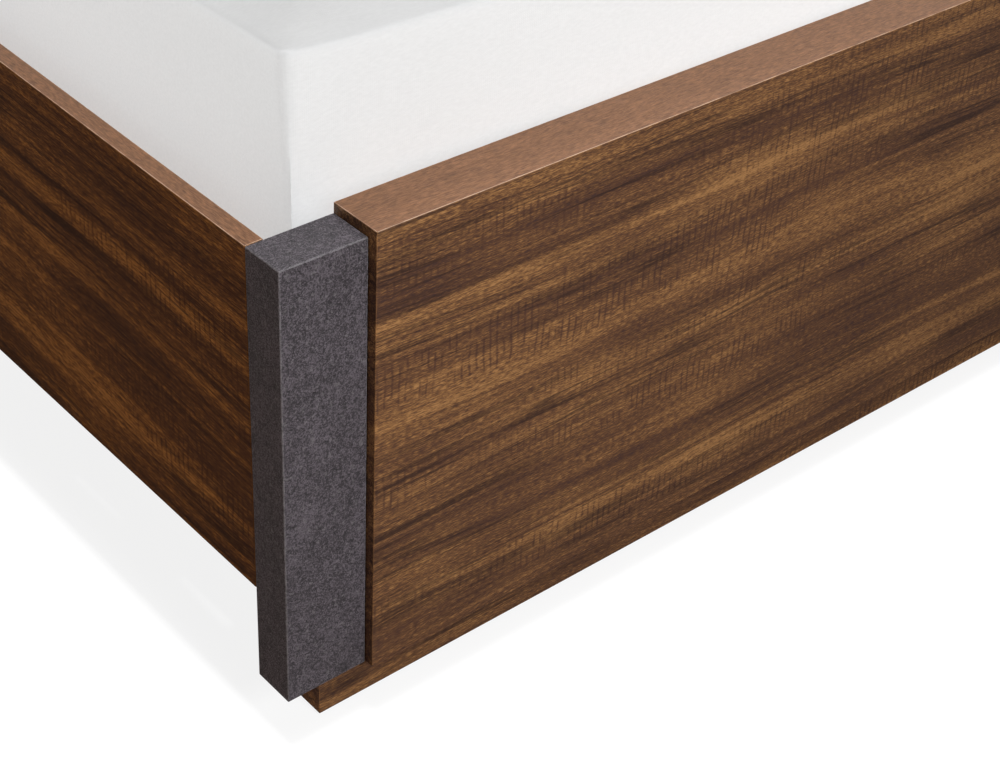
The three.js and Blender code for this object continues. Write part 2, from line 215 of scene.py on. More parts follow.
def put(tree, kind, inputs=None, **properties):
    """Adds a node, sets its properties, and links each input to a socket or gives it a value."""
    node = tree.nodes.new(kind)
    for name, value in properties.items():
        setattr(node, name, value)
    for key, value in (inputs or {}).items():
        if isinstance(value, bpy.types.NodeSocket):
            tree.links.new(value, node.inputs[key])
        else:
            node.inputs[key].default_value = value
    return node


def calc(tree, operation, a, b=0.0, c=0.0):
    return put(tree, "ShaderNodeMath", {0: a, 1: b, 2: c}, operation=operation).outputs[0]


def times(tree, a, b):
    return calc(tree, "MULTIPLY", a, b)


def weigh(tree, value, weight, base):
    """The value times its weight, on top of the base."""
    return calc(tree, "MULTIPLY_ADD", value, weight, base)


def stretch(tree, vector, scale):
    node = put(tree, "ShaderNodeVectorMath", {0: vector, 1: scale}, operation="MULTIPLY")
    return node.outputs[0]


def shift(tree, vector, offset):
    node = put(tree, "ShaderNodeVectorMath", {0: vector, 1: offset}, operation="ADD")
    return node.outputs[0]


def cloud(tree, vector, scale, detail=2.0, roughness=0.5):
    """Noise from 0 to 1 with its own number of features a metre along each axis."""
    inputs = {"Vector": stretch(tree, vector, scale), "Scale": 1.0, "Detail": detail, "Roughness": roughness}
    return put(tree, "ShaderNodeTexNoise", inputs).outputs["Fac"]


def swing(tree, vector, scale, detail=2.0, roughness=0.5):
    """The same noise about nought, from -0.5 to 0.5."""
    return calc(tree, "SUBTRACT", cloud(tree, vector, scale, detail, roughness), 0.5)


def seams(tree, vector, scale, detail, roughness, width):
    """Thin winding lines, 1 along their middles, where noise passes through the middle of its range."""
    away = calc(tree, "ABSOLUTE", swing(tree, vector, scale, detail, roughness))
    return span(tree, away, 0.0, width, 1.0, 0.0)


def span(tree, value, low, high, start=0.0, end=1.0):
    """Carries value from the range low to high smoothly onto start to end, and no further."""
    inputs = {"Value": value, "From Min": low, "From Max": high, "To Min": start, "To Max": end}
    return put(tree, "ShaderNodeMapRange", inputs, interpolation_type="SMOOTHSTEP").outputs["Result"]


def blend_colours(tree, factor, a, b, kind="MIX"):
    node = put(tree, "ShaderNodeMix", data_type="RGBA", blend_type=kind)
    for socket, value in ((node.inputs[0], factor), (node.inputs[6], a), (node.inputs[7], b)):
        if isinstance(value, bpy.types.NodeSocket):
            tree.links.new(value, socket)
        else:
            socket.default_value = value
    return node.outputs[2]


def ramp(tree, factor, stops, interpolation="LINEAR"):
    """A colour ramp whose stops are (place, colour) or (place, grey)."""
    node = put(tree, "ShaderNodeValToRGB", {0: factor})
    node.color_ramp.interpolation = interpolation
    elements = node.color_ramp.elements
    for place, _ in stops[2:]:
        elements.new(place)
    for element, (place, value) in zip(elements, stops):
        element.position = place
        element.color = rgba(value)
    return node.outputs["Color"]


def rgba(value):
    return (value, value, value, 1.0) if isinstance(value, float) else (*value, 1.0)


def group(name, inputs, outputs):
    """A new shader node group with named sockets, as its tree, its inputs and a function that ends it."""
    tree = bpy.data.node_groups.new(name, "ShaderNodeTree")
    for label, kind, default in inputs:
        socket = tree.interface.new_socket(name=label, in_out="INPUT", socket_type=kind)
        if default is not None:
            socket.default_value = default
    for label, kind in outputs:
        tree.interface.new_socket(name=label, in_out="OUTPUT", socket_type=kind)
    source = tree.nodes.new("NodeGroupInput").outputs
    sink = tree.nodes.new("NodeGroupOutput").inputs

    def end(**values):
        for label, value in values.items():
            tree.links.new(value, sink[label.replace("_", " ")])

    return tree, source, end


def place(tree, made, **inputs):
    node = put(tree, "ShaderNodeGroup", node_tree=made)
    for key, value in inputs.items():
        socket = node.inputs[key.replace("_", " ")]
        if isinstance(value, bpy.types.NodeSocket):
            tree.links.new(value, socket)
        else:
            socket.default_value = value
    return node.outputs


FLOAT = "NodeSocketFloat"
COLOUR = "NodeSocketColor"
VECTOR = "NodeSocketVector"


# ---- Shared effects -----------------------------------------------------------------------------


def grain_flow():
    """How far across a board the grain line through a point started."""
    tree, given, end = group("grain_flow", [("Grain", VECTOR, None)], [("Across", FLOAT)])
    grain = given["Grain"]
    parts = put(tree, "ShaderNodeSeparateXYZ", {0: grain}).outputs
    slow = weigh(tree, cloud(tree, grain, (1.3, 4.0, 4.0), 1.0), 0.055, -0.0275)
    quick = weigh(tree, cloud(tree, grain, (3.4, 20.0, 20.0), 2.0), 0.014, -0.007)
    rise = weigh(tree, parts[0], -0.008, parts[1])
    end(Across=calc(tree, "ADD", rise, calc(tree, "ADD", slow, quick)))
    return tree


def walnut_figure():
    """Figured walnut on grain coordinates: along, across and into the board, in metres."""
    walnut = settings().walnut
    tree, given, end = group(
        "walnut_figure",
        [
            ("Grain", VECTOR, None),
            ("Across", FLOAT, 0.0),
            ("Bands", FLOAT, 0.5),
            ("Ripple", FLOAT, 0.5),
            ("Tint", COLOUR, (1.0, 1.0, 1.0, 1.0)),
        ],
        [("Color", COLOUR), ("Roughness", FLOAT), ("Height", FLOAT)],
    )
    grain = given["Grain"]
    parts = put(tree, "ShaderNodeSeparateXYZ", {0: grain}).outputs
    along = parts[0]
    flow = put(tree, "ShaderNodeCombineXYZ", {0: along, 1: given["Across"], 2: parts[2]}).outputs[0]

    # Light and dark bands, silky patches on them, and streaks inside them.
    patches = swing(tree, flow, (1.6, 19.0, 19.0), 2.0, 0.55)
    sheen = swing(tree, shift(tree, grain, (2.7, 6.1, 3.3)), (5.5, 9.0, 9.0), 1.0)
    streaks = swing(tree, flow, (1.7, 78.0, 78.0), 3.0, 0.66)
    tone = weigh(tree, given["Bands"], 0.50, 0.28)
    tone = weigh(tree, patches, 0.52, tone)
    tone = weigh(tree, sheen, 0.45, tone)
    tone = weigh(tree, streaks, 1.25, tone)

    # Short silky fibres and open pores.
    silk = swing(tree, flow, (26.0, 290.0, 290.0), 3.0, 0.7)
    fibre = swing(tree, flow, (130.0, 850.0, 850.0), 2.0, 0.65)
    pores = span(tree, cloud(tree, flow, (100.0, 1500.0, 1500.0), 0.0), 0.66, 0.78)
    tone = weigh(tree, silk, 0.50, tone)
    tone = weigh(tree, fibre, 2.0, tone)

    # Thin dark growth lines follow the grain in bunches, and lie on the darker side of the bands.
    wide = seams(tree, flow, (0.8, 34.0, 34.0), 3.0, 0.6, 0.030)
    narrow = seams(tree, flow, (1.0, 105.0, 105.0), 1.0, 0.5, 0.046)
    bunch = span(tree, cloud(tree, flow, (2.1, 13.0, 13.0), 2.0), 0.38, 0.52)
    faint = span(tree, cloud(tree, flow, (9.0, 40.0, 40.0), 2.0), 0.30, 0.60, 0.35, 1.0)
    lines = times(tree, times(tree, calc(tree, "MAXIMUM", wide, narrow), bunch), faint)

    # Ripple: thin upright bars across the grain, in patches that keep off the darkest wood.
    waver = weigh(tree, cloud(tree, grain, (14.0, 18.0, 14.0), 2.0), 0.010, along)
    beat = calc(tree, "PINGPONG", times(tree, waver, 1.0 / walnut.ripple_pitch), 0.5)
    uneven = cloud(tree, shift(tree, flow, (1.1, 0.7, 5.2)), (60.0, 44.0, 44.0), 2.0)
    bar = times(tree, span(tree, beat, 0.0, 0.26, 1.0, 0.0), span(tree, uneven, 0.38, 0.58))
    patch = span(tree, cloud(tree, shift(tree, flow, (7.3, 1.9, 4.1)), (2.0, 13.0, 13.0), 2.0), 0.50, 0.61)
    patch = times(tree, patch, span(tree, tone, 0.22, 0.40))
    ripple = times(tree, times(tree, bar, patch), given["Ripple"])
    tone = weigh(tree, ripple, -0.50, tone)

    woods = (walnut.heart, walnut.dark, walnut.mid, walnut.gold, walnut.pale)
    shade = ramp(tree, tone, list(zip((0.0, 0.26, 0.50, 0.78, 1.0), woods)))
    line_shade = blend_colours(tree, 0.75, shade, rgba(walnut.line))
    shade = blend_colours(tree, lines, shade, line_shade)
    shade = blend_colours(tree, times(tree, pores, 0.35), shade, rgba(walnut.heart))
    shade = blend_colours(tree, 1.0, shade, given["Tint"], "MULTIPLY")

    height = calc(tree, "SUBTRACT", times(tree, fibre, 0.5), pores)
    rough = weigh(tree, tone, -0.08, 0.50)
    end(Color=shade, Roughness=weigh(tree, pores, 0.15, rough), Height=height)
    return tree


def lipping_figure():
    """The plainer, straight-grained wood of the strips that cover the boards' edges."""
    walnut = settings().walnut
    tree, given, end = group(
        "lipping_figure",
        [("Grain", VECTOR, None)],
        [("Color", COLOUR), ("Roughness", FLOAT), ("Height", FLOAT)],
    )
    grain = given["Grain"]
    wander = times(tree, cloud(tree, grain, (1.6, 7.0, 7.0), 2.0), 0.03)
    offset = put(tree, "ShaderNodeCombineXYZ", {0: 0.0, 1: wander, 2: wander}).outputs[0]
    flow = shift(tree, grain, offset)
    tone = cloud(tree, flow, (1.4, 48.0, 48.0), 4.0, 0.62)
    fibre = cloud(tree, flow, (110.0, 760.0, 760.0), 3.0, 0.7)
    dashes = span(tree, cloud(tree, flow, (95.0, 800.0, 800.0), 1.0), 0.58, 0.70)
    tone = weigh(tree, fibre, 2.7, weigh(tree, tone, 0.42, -1.06))
    middle = Vector(walnut.lipping)
    shade = ramp(tree, tone, [(0.0, middle * 0.62), (0.5, middle), (1.0, middle * 1.5)])
    shade = blend_colours(tree, times(tree, dashes, 0.5), shade, rgba(walnut.dark))
    rough = weigh(tree, fibre, 0.12, 0.38)
    end(Color=shade, Roughness=rough, Height=calc(tree, "SUBTRACT", fibre, dashes))
    return tree


def painted_arris_highlight():
    """Painted highlight along a board's rounded edges, from 0 to 1, broken up along their length."""
    tree, given, end = group(
        "painted_arris_highlight",
        [("Amount", FLOAT, 0.5), ("Spots", FLOAT, 90.0)],
        [("Mask", FLOAT)],
    )
    edge = put(tree, "ShaderNodeAttribute", attribute_name="arris").outputs["Fac"]
    speckle = {"Vector": object_of(tree), "Scale": given["Spots"], "Detail": 3.0}
    spots = put(tree, "ShaderNodeTexNoise", speckle).outputs[0]
    mask = times(tree, edge, span(tree, spots, 0.30, 0.62, 0.35, 1.0))
    end(Mask=times(tree, mask, given["Amount"]))
    return tree


def slate_skin():
    """A mottled, finely pitted stone-look coating."""
    slate = settings().slate
    tree, given, end = group(
        "slate_skin",
        [("Vector", VECTOR, None)],
        [("Color", COLOUR), ("Roughness", FLOAT), ("Height", FLOAT)],
    )
    spot = given["Vector"]
    blotch = cloud(tree, spot, (26.0, 26.0, 20.0), 3.0, 0.6)
    crumb = cloud(tree, shift(tree, spot, (3.0, 5.0, 7.0)), (130.0, 130.0, 120.0), 3.0, 0.65)
    grit = cloud(tree, spot, (720.0, 720.0, 720.0), 2.0, 0.7)
    flecks = cloud(tree, shift(tree, spot, (4.0, 1.0, 8.0)), (210.0, 210.0, 190.0), 2.0)
    flecks = span(tree, flecks, 0.60, 0.70)
    pits = cloud(tree, shift(tree, spot, (9.0, 2.0, 4.0)), (170.0, 170.0, 150.0), 2.0)
    pits = span(tree, pits, 0.60, 0.70)
    crinkle = seams(tree, spot, (75.0, 75.0, 60.0), 3.0, 0.6, 0.045)
    ground = Vector(slate.ground)
    # Painted shade: the tone darkens along the crinkle lines, which the bump also sinks.
    tone = weigh(tree, crinkle, -0.25, weigh(tree, blotch, 1.2, -3.65))
    tone = weigh(tree, crumb, 1.1, tone)
    tone = weigh(tree, grit, 6.0, tone)
    shade = ramp(tree, tone, [(0.0, ground * 0.45), (0.5, ground), (1.0, ground * 1.8)])
    shade = blend_colours(tree, times(tree, flecks, 0.5), shade, rgba(slate.fleck))
    # Painted shade: the pits, which the bump sinks, are darkened towards 0.4 of the ground colour.
    shade = blend_colours(tree, times(tree, pits, 0.6), shade, rgba(ground * 0.4))
    height = weigh(tree, pits, -1.0, weigh(tree, grit, 0.6, crumb))
    height = weigh(tree, crinkle, -1.4, height)
    end(Color=shade, Roughness=span(tree, blotch, 0.3, 0.7, 0.58, 0.70), Height=height)
    return tree


def plywood_layers():
    """Birch plywood on grain coordinates, with its layers on the faces that the piece marks as edges."""
    base = settings().base
    tree, given, end = group(
        "plywood_layers",
        [("Grain", VECTOR, None), ("Edge", FLOAT, 0.0)],
        [("Color", COLOUR), ("Roughness", FLOAT), ("Height", FLOAT)],
    )
    grain = given["Grain"]
    into = put(tree, "ShaderNodeSeparateXYZ", {0: grain}).outputs[2]
    wander = times(tree, cloud(tree, grain, (2.0, 7.0, 7.0), 2.0), 0.02)
    flow = shift(tree, grain, put(tree, "ShaderNodeCombineXYZ", {1: wander}).outputs[0])
    face = cloud(tree, flow, (1.6, 48.0, 48.0), 4.0, 0.6)
    fibre = cloud(tree, flow, (70.0, 900.0, 900.0), 2.0)
    pale = Vector(base.plywood)
    tone = weigh(tree, fibre, 0.3, calc(tree, "SUBTRACT", face, 0.15))
    shade = ramp(tree, tone, [(0.15, pale * 0.72), (0.5, pale), (0.85, pale * 1.18)])
    turn = calc(tree, "SINE", times(tree, into, math.pi / base.ply))
    layers = span(tree, turn, -0.25, 0.25)
    mixed = ramp(tree, layers, [(0.0, pale * 0.48), (1.0, pale * 0.95)])
    mixed = blend_colours(tree, times(tree, fibre, 0.35), mixed, rgba(pale * 0.5))
    shade = blend_colours(tree, given["Edge"], shade, mixed)
    height = weigh(tree, times(tree, layers, given["Edge"]), 1.5, fibre)
    end(Color=shade, Roughness=weigh(tree, fibre, 0.15, 0.5), Height=height)
    return tree


def cotton_weave():
    """A plain weave of fine cotton: over-and-under threads along two directions on the surface."""
    tree, given, end = group(
        "cotton_weave",
        [("Vector", VECTOR, None), ("Threads", FLOAT, 900.0)],
        [("Height", FLOAT), ("Slub", FLOAT)],
    )
    spot = put(tree, "ShaderNodeVectorMath", {0: given["Vector"]}, operation="SCALE")
    tree.links.new(given["Threads"], spot.inputs["Scale"])
    parts = put(tree, "ShaderNodeSeparateXYZ", {0: spot.outputs[0]}).outputs
    waves = [calc(tree, "SINE", times(tree, part, math.pi)) for part in parts]
    weave = weigh(tree, waves[0], waves[1], times(tree, waves[1], waves[2]))
    weave = weigh(tree, waves[0], waves[2], weave)
    slub = cloud(tree, given["Vector"], (160.0, 420.0, 420.0), 3.0, 0.6)
    end(Height=weigh(tree, slub, 1.2, times(tree, weave, 0.35)), Slub=slub)
    return tree


def brushed_zinc():
    """Bright zinc plate with a faint crystal bloom and rolling lines."""
    tree, given, end = group(
        "brushed_zinc",
        [("Vector", VECTOR, None), ("Tint", COLOUR, (0.6, 0.61, 0.63, 1.0))],
        [("Color", COLOUR), ("Roughness", FLOAT), ("Height", FLOAT)],
    )
    spot = given["Vector"]
    bloom = put(tree, "ShaderNodeTexVoronoi", {"Vector": spot, "Scale": 160.0}).outputs["Color"]
    bloom = put(tree, "ShaderNodeSeparateColor", {0: bloom}).outputs[0]
    rolled = cloud(tree, spot, (12.0, 1400.0, 1400.0), 2.0)
    smear = cloud(tree, spot, (24.0, 24.0, 24.0), 4.0, 0.6)
    light = weigh(tree, bloom, 0.12, weigh(tree, smear, 0.3, 0.72))
    shade = blend_colours(tree, 1.0, given["Tint"], light, "MULTIPLY")
    rough = weigh(tree, smear, 0.25, weigh(tree, rolled, 0.15, 0.15))
    end(Color=shade, Roughness=rough, Height=rolled)
    return tree


# ---- Materials ----------------------------------------------------------------------------------


def shader(name, roughness=0.5, **fixed):
    """A new material, its tree and its Principled BSDF, with the numbers that don't vary set on it."""
    material = bpy.data.materials.new(name)
    material.use_nodes = True
    tree = material.node_tree
    tree.nodes.clear()
    bsdf = put(tree, "ShaderNodeBsdfPrincipled", {"Roughness": roughness})
    for label, value in fixed.items():
        bsdf.inputs[label.replace("_", " ")].default_value = value
    output = tree.nodes.new("ShaderNodeOutputMaterial")
    tree.links.new(bsdf.outputs[0], output.inputs["Surface"])
    return material, tree, bsdf


def wire(tree, bsdf, colour, roughness, height, depth, strength=1.0):
    """Colour, roughness and a bump of the given depth in metres into a Principled BSDF."""
    bump = put(tree, "ShaderNodeBump", {"Height": height, "Distance": depth, "Strength": strength})
    tree.links.new(colour, bsdf.inputs["Base Color"])
    tree.links.new(roughness, bsdf.inputs["Roughness"])
    tree.links.new(bump.outputs[0], bsdf.inputs["Normal"])


def grain_of(tree):
    return put(tree, "ShaderNodeAttribute", attribute_name="grain").outputs["Vector"]


def object_of(tree):
    return put(tree, "ShaderNodeTexCoord").outputs["Object"]


# A leaf of veneer from its top edge to its bottom edge: (share of the leaf, lightness of its bands).
FOOT_LEAF = (
    (0.00, 0.60),
    (0.04, 0.72),
    (0.09, 0.24),
    (0.15, 0.30),
    (0.19, 0.62),
    (0.24, 0.74),
    (0.29, 0.30),
    (0.37, 0.42),
    (0.45, 0.70),
    (0.52, 0.50),
    (0.62, 0.40),
    (0.70, 0.22),
    (0.79, 0.30),
    (0.85, 0.74),
    (0.90, 0.62),
    (0.94, 0.38),
    (1.00, 0.42),
)
RAIL_LEAF = (
    (0.00, 0.40),
    (0.14, 0.42),
    (0.19, 0.80),
    (0.24, 0.08),
    (0.29, 0.98),
    (0.35, 0.00),
    (0.45, 0.40),
    (0.52, 0.08),
    (0.62, 0.44),
    (0.70, 0.42),
    (0.80, 0.92),
    (0.88, 0.34),
    (1.00, 0.20),
)


def walnut_material(name, leaf_top, leaf_width, leaf, tint=(1.0, 1.0, 1.0), specular=0.14):
    """Walnut veneer laid in leaves that start at leaf_top, each turned over to match its neighbour."""
    walnut = settings().walnut
    material, tree, bsdf = shader(name, Specular_IOR_Level=specular)
    grain = grain_of(tree)
    across = place(tree, effect(grain_flow), Grain=grain)["Across"]
    down = calc(tree, "SUBTRACT", leaf_top, across)
    turned = calc(tree, "PINGPONG", down, leaf_width)
    bands = ramp(tree, calc(tree, "DIVIDE", turned, leaf_width), leaf, "EASE")
    looks = {"Bands": bands, "Ripple": walnut.ripple, "Tint": rgba(tint)}
    figure = place(tree, effect(walnut_figure), Grain=grain, Across=across, **looks)
    # Painted highlight: the rounded edges are lightened towards the gold wood colour in broken spots.
    highlight_mask = place(tree, effect(painted_arris_highlight), Amount=0.35, Spots=60.0)["Mask"]
    colour_out = blend_colours(tree, highlight_mask, figure["Color"], rgba(walnut.gold))
    wire(tree, bsdf, colour_out, figure["Roughness"], figure["Height"], 0.12 * MM, 0.6)
    return material


def lipping_material():
    material, tree, bsdf = shader("walnut_lipping", Specular_IOR_Level=0.2)
    figure = place(tree, effect(lipping_figure), Grain=grain_of(tree))
    # Painted highlight: the lipping's rounded edges are lightened to a pale brown in broken spots.
    highlight_mask = place(tree, effect(painted_arris_highlight), Amount=0.8, Spots=60.0)["Mask"]
    colour_out = blend_colours(tree, highlight_mask, figure["Color"], (0.60, 0.42, 0.30, 1.0))
    wire(tree, bsdf, colour_out, figure["Roughness"], figure["Height"], 0.1 * MM, 0.6)
    return material


def slate_material():
    material, tree, bsdf = shader("slate_coating", Specular_IOR_Level=0.42)
    skin = place(tree, effect(slate_skin), Vector=object_of(tree))
    # Painted highlight: the posts' rounded edges are lightened to a pale grey in broken spots.
    highlight_mask = place(tree, effect(painted_arris_highlight), Amount=0.45, Spots=220.0)["Mask"]
    colour_out = blend_colours(tree, highlight_mask, skin["Color"], (0.22, 0.21, 0.22, 1.0))
    wire(tree, bsdf, colour_out, skin["Roughness"], skin["Height"], 0.35 * MM, 0.7)
    return material


def plywood_material():
    material, tree, bsdf = shader("birch_plywood")
    edge = put(tree, "ShaderNodeAttribute", attribute_name="ply_edge").outputs["Fac"]
    layers = place(tree, effect(plywood_layers), Grain=grain_of(tree), Edge=edge)
    wire(tree, bsdf, layers["Color"], layers["Roughness"], layers["Height"], 0.08 * MM)
    return material


def zinc_material():
    base = settings().base
    material, tree, bsdf = shader("zinc_plate", Metallic=1.0)
    plate = place(tree, effect(brushed_zinc), Vector=object_of(tree), Tint=rgba(base.zinc))
    wire(tree, bsdf, plate["Color"], plate["Roughness"], plate["Height"], 0.02 * MM)
    return material


def plastic_material():
    base = settings().base
    material, tree, bsdf = shader("black_plastic")
    spot = object_of(tree)
    grit = cloud(tree, spot, (1100.0, 1100.0, 1100.0), 1.0)
    scuff = cloud(tree, spot, (40.0, 40.0, 40.0), 4.0, 0.65)
    middle = Vector(base.plastic)
    shade = ramp(tree, scuff, [(0.35, middle), (0.7, middle * 2.5)])
    wire(tree, bsdf, shade, span(tree, scuff, 0.3, 0.7, 0.45, 0.65), grit, 0.05 * MM)
    return material


def cotton_material():
    material, tree, bsdf = shader("mattress_cotton", Sheen_Weight=0.05, Sheen_Roughness=0.5)
    weave = place(tree, effect(cotton_weave), Vector=object_of(tree))
    cotton = Vector(settings().mattress.cotton)
    shade = ramp(tree, weave["Slub"], [(0.3, cotton * 0.965), (0.7, cotton * 1.02)])
    # Painted shade: the cover's colour is darkened over its rounded edges and corners, by how far it turns
    # there.
    turn = put(tree, "ShaderNodeAttribute", attribute_name="turn").outputs["Fac"]
    painted_edge_shade = rgba(cotton * settings().mattress.stretch)
    shade = blend_colours(tree, turn, shade, painted_edge_shade)
    rough = span(tree, weave["Slub"], 0.3, 0.7, 0.85, 0.95)
    wire(tree, bsdf, shade, rough, weave["Height"], 0.12 * MM, 0.3)
    return material


def leaf_of(node):
    """The top of a board and the width of each leaf on it: one leaf for every half metre or less."""
    low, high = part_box(node)
    tall = high.z - low.z
    return high.z, tall / math.ceil(tall / settings().walnut.leaf)


EFFECTS = {}


def effect(make):
    """The node group that a function makes, made on its first use."""
    if make.__name__ not in EFFECTS:
        EFFECTS[make.__name__] = make()
    return EFFECTS[make.__name__]


MATERIALS = {}


def material(name):
    """A material by its short name, made once."""
    makers = {
        "foot_walnut": lambda: walnut_material("walnut_foot_end", *leaf_of("footboard_panel"), FOOT_LEAF),
        "head_walnut": lambda: walnut_material("walnut_head_end", *leaf_of("headboard_panel"), FOOT_LEAF),
        "rail_walnut": lambda: walnut_material(
            "walnut_rails", *leaf_of("side_rail_left"), RAIL_LEAF, settings().walnut.rail_tint, 0.05
        ),
        "lipping": lipping_material,
        "slate": slate_material,
        "plywood": plywood_material,
        "zinc": zinc_material,
        "plastic": plastic_material,
        "cotton": cotton_material,
    }
    if name not in MATERIALS:
        MATERIALS[name] = makers[name]()
    return MATERIALS[name]


# ---- Mesh helpers -------------------------------------------------------------------------------


def nodes_named(*starts):
    """The CAD nodes whose names start in one of these ways, in order."""
    return sorted(node for node in frame["nodes"] if node.startswith(starts))


def finish_mesh(bm, name, materials):
    """A bmesh becomes an object in the scene with the named materials in its slots."""
    mesh = bpy.data.meshes.new(name)
    bm.to_mesh(mesh)
    bm.free()
    piece = bpy.data.objects.new(name, mesh)
    bpy.context.scene.collection.objects.link(piece)
    for short in materials:
        mesh.materials.append(material(short))
    return piece


def stand_for(piece, node):
    """A finished piece takes a CAD node's place, on the node's own body."""
    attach(piece, frame["nodes"][node]["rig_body"])
    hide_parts(node)
    return piece


# Faces that meet within the first angle are one flat face, and past the second they meet at an edge.
FLAT = math.radians(1)
SHARP = math.radians(35)


def eased_copy(node, arris, segments=2):
    """A CAD node's shape in a bmesh, with its flat faces whole and its edges rounded and marked."""
    bm = bmesh.new()
    bm.from_mesh(frame["nodes"][node].data)
    for name in list(bm.loops.layers.uv.keys()):
        bm.loops.layers.uv.remove(bm.loops.layers.uv[name])
    bmesh.ops.remove_doubles(bm, verts=bm.verts[:], dist=0.01 * MM)
    bmesh.ops.dissolve_limit(bm, angle_limit=FLAT, verts=bm.verts[:], edges=bm.edges[:])
    mark = bm.faces.layers.float.new("arris")
    sharp = [e for e in bm.edges if e.is_manifold and e.calc_face_angle() > SHARP]
    for face in bevel_edges(bm, sharp, arris, segments):
        face[mark] = 1.0
        face.smooth = True
    return bm


def bevel_edges(bm, edges, offset, segments):
    """Rounds the edges and hands back the new faces."""
    made = bmesh.ops.bevel(
        bm,
        geom=edges,
        offset=offset,
        offset_type="OFFSET",
        segments=segments,
        profile=0.5,
        affect="EDGES",
        material=-1,
        clamp_overlap=True,
    )
    bm.normal_update()
    return made["faces"]


def add_grain(bm, along, across, into):
    """Each point keeps its place along, across and into the grain, so the figure follows the board."""
    layer = bm.verts.layers.float_vector.new("grain")
    for vert in bm.verts:
        vert[layer] = Vector((vert.co[along], vert.co[across], vert.co[into]))


def board_axes(node):
    """A board's axes from its longest to its shortest side."""
    low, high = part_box(node)
    return sorted((X, Y, Z), key=lambda axis: low[axis] - high[axis])


def veneered(node, figure, along, into, arris):
    """A veneered board: figured faces, with plainer lipping on the edges that run with the grain."""
    bm = eased_copy(node, arris)
    add_grain(bm, along, Z, into)
    bm.normal_update()
    for face in bm.faces:
        if abs(face.normal[Z]) > 0.9:
            face.material_index = 1
    piece = finish_mesh(bm, f"{node}_veneered", [figure, "lipping"])
    return stand_for(piece, node)


def plywood_board(node, arris):
    along, across, into = board_axes(node)
    bm = eased_copy(node, arris)
    add_grain(bm, along, across, into)
    bm.normal_update()
    edge = bm.faces.layers.float.new("ply_edge")
    for face in bm.faces:
        face[edge] = 0.0 if abs(face.normal[into]) > 0.6 else 1.0
    piece = finish_mesh(bm, f"{node}_board", ["plywood"])
    return stand_for(piece, node)


def repaint(node, short):
    """A CAD node keeps its shape and takes a finished material."""
    mesh = frame["nodes"][node].data
    mesh.materials.clear()
    mesh.materials.append(material(short))


# ---- Operators ----------------------------------------------------------------------------------


class BED_OT_posts(bpy.types.Operator):
    """Build the four slate-look corner posts"""

    bl_idname = "bed.posts"
    bl_label = "Corner posts"

    def execute(self, context):
        arris = context.scene.platform_bed.slate.arris
        for end in ENDS:
            for side in SIDES:
                node = f"{end}_post_{side}"
                piece = finish_mesh(eased_copy(node, arris), f"{node}_slate", ["slate"])
                stand_for(piece, node)
        return {"FINISHED"}


class BED_OT_panels(bpy.types.Operator):
    """Build the footboard and headboard panels and their plinths"""

    bl_idname = "bed.panels"
    bl_label = "End panels and plinths"

    def execute(self, context):
        arris = context.scene.platform_bed.walnut.arris
        for end in ENDS:
            for node in (f"{end}board_panel", f"{end}board_plinth"):
                veneered(node, f"{end}_walnut", X, Y, arris)
        return {"FINISHED"}


class BED_OT_rails(bpy.types.Operator):
    """Build the side rails and the drawer fronts, with the grain running on from one to the other"""

    bl_idname = "bed.rails"
    bl_label = "Rails and drawer fronts"

    def execute(self, context):
        arris = context.scene.platform_bed.walnut.arris
        for side in SIDES:
            for node in (f"side_rail_{side}", f"drawer_front_{side}"):
                veneered(node, "rail_walnut", Y, X, arris)
        return {"FINISHED"}


class BED_OT_base(bpy.types.Operator):
    """Build the slats, ledges, beam, legs and partitions"""

    bl_idname = "bed.base"
    bl_label = "Slatted base"

    def execute(self, context):
        arris = context.scene.platform_bed.base.arris
        for node in nodes_named("slat_", "centre_", "drawer_partition_"):
            plywood_board(node, arris)
        return {"FINISHED"}


class BED_OT_drawers(bpy.types.Operator):
    """Build the drawer boxes"""

    bl_idname = "bed.drawers"
    bl_label = "Drawer boxes"

    def execute(self, context):
        arris = context.scene.platform_bed.base.arris
        for node in nodes_named("drawer_side_", "drawer_back_", "drawer_bottom_"):
            plywood_board(node, arris)
        return {"FINISHED"}


class BED_OT_fittings(bpy.types.Operator):
    """Finish the steelwork, slides, glides and leg pads"""

    bl_idname = "bed.fittings"
    bl_label = "Fittings"

    def execute(self, context):
        sheet_arris = context.scene.platform_bed.base.sheet_arris
        for node in nodes_named("rail_bracket_", "beam_hanger_", "slide_"):
            piece = finish_mesh(eased_copy(node, sheet_arris), f"{node}_steel", ["zinc"])
            stand_for(piece, node)
        for node in nodes_named("glide_", "leg_pad_"):
            repaint(node, "plastic")
        return {"FINISHED"}


class BED_OT_screws(bpy.types.Operator):
    """Add the screws' domed heads to the steel angles, the beam hangers and the drawers"""

    bl_idname = "bed.screws"
    bl_label = "Screws"

    def execute(self, context):
        base = context.scene.platform_bed.base
        for end, side in ((end, side) for end in ENDS for side in SIDES):
            spots = bracket_screws(f"rail_bracket_{end}_{side}")
            add_screws(f"bracket_screws_{end}_{side}", spots, base.bolt, "bed_frame")
        for end in ENDS:
            add_screws(f"hanger_screws_{end}", hanger_screws(f"beam_hanger_{end}"), base.screw, "bed_frame")
        for side in SIDES:
            add_screws(f"drawer_screws_{side}", drawer_screws(side), base.screw, f"drawer_{side}")
        return {"FINISHED"}


# The thickness of the sheet steel, and how far a bracket's own screw heads stand off it.
SHEET = 3 * MM
BRACKET_HEAD = 2.5 * MM
# How far up a hanger's cheek its screws are.
HANGER_ROWS = (0.35, 0.75)
# How far a drawer's screws are from its sides' long edges, and from its front.
DRAWER_EDGE = 20 * MM
DRAWER_FRONT = 24 * MM


def facing(value):
    return 1.0 if value > 0 else -1.0


